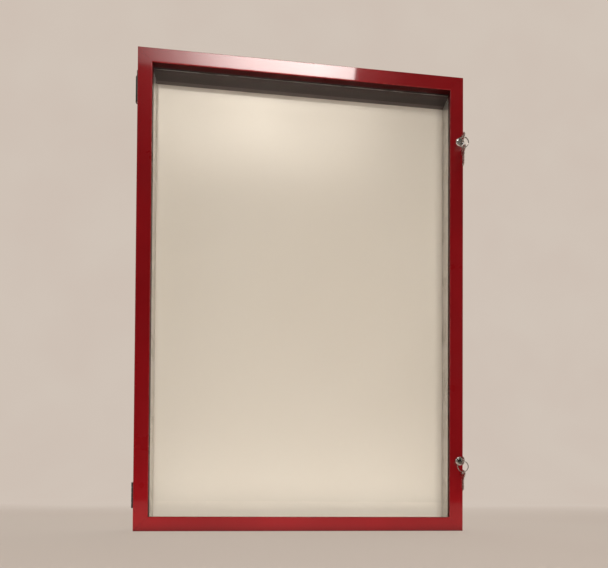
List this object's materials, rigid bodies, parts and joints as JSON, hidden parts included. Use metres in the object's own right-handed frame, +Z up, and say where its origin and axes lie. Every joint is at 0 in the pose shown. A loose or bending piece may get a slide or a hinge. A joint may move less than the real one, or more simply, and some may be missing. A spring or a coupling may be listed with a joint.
{
  "type": "lockable poster case",
  "caption": "Wall-hung lockable poster case: red glazed door on side hinges, key locks with keys, white back panel in an aluminium channel frame.",
  "frame": {"origin": "on the wall plane, in the middle of the top rail's back face", "axes": "+X to the right seen from the front, +Y into the wall, +Z up"},
  "size_m": [0.7722, 0.0936, 1.09],
  "materials": {
    "red_paint": "gloss",
    "case_aluminium": "satin",
    "white_panel": "semi-gloss",
    "glazing": "clear",
    "hinge_black": "satin",
    "chrome": "polished",
    "key_steel": "nickel plated",
    "zinc_steel": "zinc plated",
    "black_rubber": "matte",
    "grey_plastic": "matte"
  },
  "bodies": {
    "root": {"case_top_rail": "case_aluminium", "case_bottom_rail": "case_aluminium", "case_left_side": "case_aluminium", "case_right_side": "case_aluminium", "case_corner_key_top_left": "zinc_steel", "case_corner_key_top_right": "zinc_steel", "case_corner_key_bottom_left": "zinc_steel", "case_corner_key_bottom_right": "zinc_steel", "back_panel": "white_panel", "panel_retainer_top": "grey_plastic", "panel_retainer_bottom": "grey_plastic", "panel_retainer_left": "grey_plastic", "panel_retainer_right": "grey_plastic", "upper_hinge_case_leaf": "hinge_black", "upper_hinge_pin": "zinc_steel", "upper_hinge_case_screw_1": "hinge_black", "upper_hinge_case_screw_2": "hinge_black", "lower_hinge_case_leaf": "hinge_black", "lower_hinge_pin": "zinc_steel", "lower_hinge_case_screw_1": "hinge_black", "lower_hinge_case_screw_2": "hinge_black", "upper_strike": "zinc_steel", "upper_strike_rivet": "zinc_steel", "lower_strike": "zinc_steel", "lower_strike_rivet": "zinc_steel"},
    "door": {"door_top_rail": "red_paint", "door_bottom_rail": "red_paint", "door_left_stile": "red_paint", "door_right_stile": "red_paint", "door_corner_key_top_left": "zinc_steel", "door_corner_key_top_right": "zinc_steel", "door_corner_key_bottom_left": "zinc_steel", "door_corner_key_bottom_right": "zinc_steel", "door_glazing": "glazing", "glazing_bead_top": "black_rubber", "glazing_bead_bottom": "black_rubber", "glazing_bead_left": "black_rubber", "glazing_bead_right": "black_rubber", "upper_hinge_door_leaf": "hinge_black", "upper_hinge_door_screw_1": "hinge_black", "upper_hinge_door_screw_2": "hinge_black", "lower_hinge_door_leaf": "hinge_black", "lower_hinge_door_screw_1": "hinge_black", "lower_hinge_door_screw_2": "hinge_black", "upper_lock_housing": "chrome", "upper_lock_clip": "zinc_steel", "lower_lock_housing": "chrome", "lower_lock_clip": "zinc_steel"},
    "upper_lock": {"upper_lock_plug": "chrome", "upper_lock_cam": "zinc_steel", "upper_cam_screw": "zinc_steel"},
    "upper_key": {"upper_key": "key_steel"},
    "upper_ring": {"upper_key_ring": "key_steel"},
    "upper_spare": {"upper_spare_key": "key_steel"},
    "lower_lock": {"lower_lock_plug": "chrome", "lower_lock_cam": "zinc_steel", "lower_cam_screw": "zinc_steel"},
    "lower_key": {"lower_key": "key_steel"},
    "lower_ring": {"lower_key_ring": "key_steel"},
    "lower_spare": {"lower_spare_key": "key_steel"}
  },
  "joints": [
    {"name": "door_swing", "type": "hinge", "parent": "root", "child": "door", "pos_m": [-0.3853, -0.0404, -0.536], "axis": [0, 0, -1], "range_deg": [0, 170]},
    {"name": "upper_lock_turn", "type": "hinge", "parent": "door", "child": "upper_lock", "pos_m": [0.3685, -0.0608, -0.156], "axis": [0, 1, 0], "range_deg": [0, 90]},
    {"name": "upper_key_slide", "type": "slide", "parent": "upper_lock", "child": "upper_key", "axis": [0, -1, 0], "range_m": [0, 0.03]},
    {"name": "upper_ring_swing", "type": "hinge", "parent": "upper_key", "child": "upper_ring", "pos_m": [0.3685, -0.0836, -0.1575], "axis": [-1, 0, 0], "range_deg": [-8, 60]},
    {"name": "upper_spare_key_swing", "type": "hinge", "parent": "upper_ring", "child": "upper_spare", "pos_m": [0.3685, -0.0836, -0.1825], "axis": [-1, 0, 0], "range_deg": [-8, 60]},
    {"name": "lower_lock_turn", "type": "hinge", "parent": "door", "child": "lower_lock", "pos_m": [0.3685, -0.0608, -0.916], "axis": [0, 1, 0], "range_deg": [0, 90]},
    {"name": "lower_key_slide", "type": "slide", "parent": "lower_lock", "child": "lower_key", "axis": [0, -1, 0], "range_m": [0, 0.03]},
    {"name": "lower_ring_swing", "type": "hinge", "parent": "lower_key", "child": "lower_ring", "pos_m": [0.3685, -0.0836, -0.9175], "axis": [-1, 0, 0], "range_deg": [-8, 60]},
    {"name": "lower_spare_key_swing", "type": "hinge", "parent": "lower_ring", "child": "lower_spare", "pos_m": [0.3685, -0.0836, -0.9425], "axis": [-1, 0, 0], "range_deg": [-8, 60]}
  ]
}
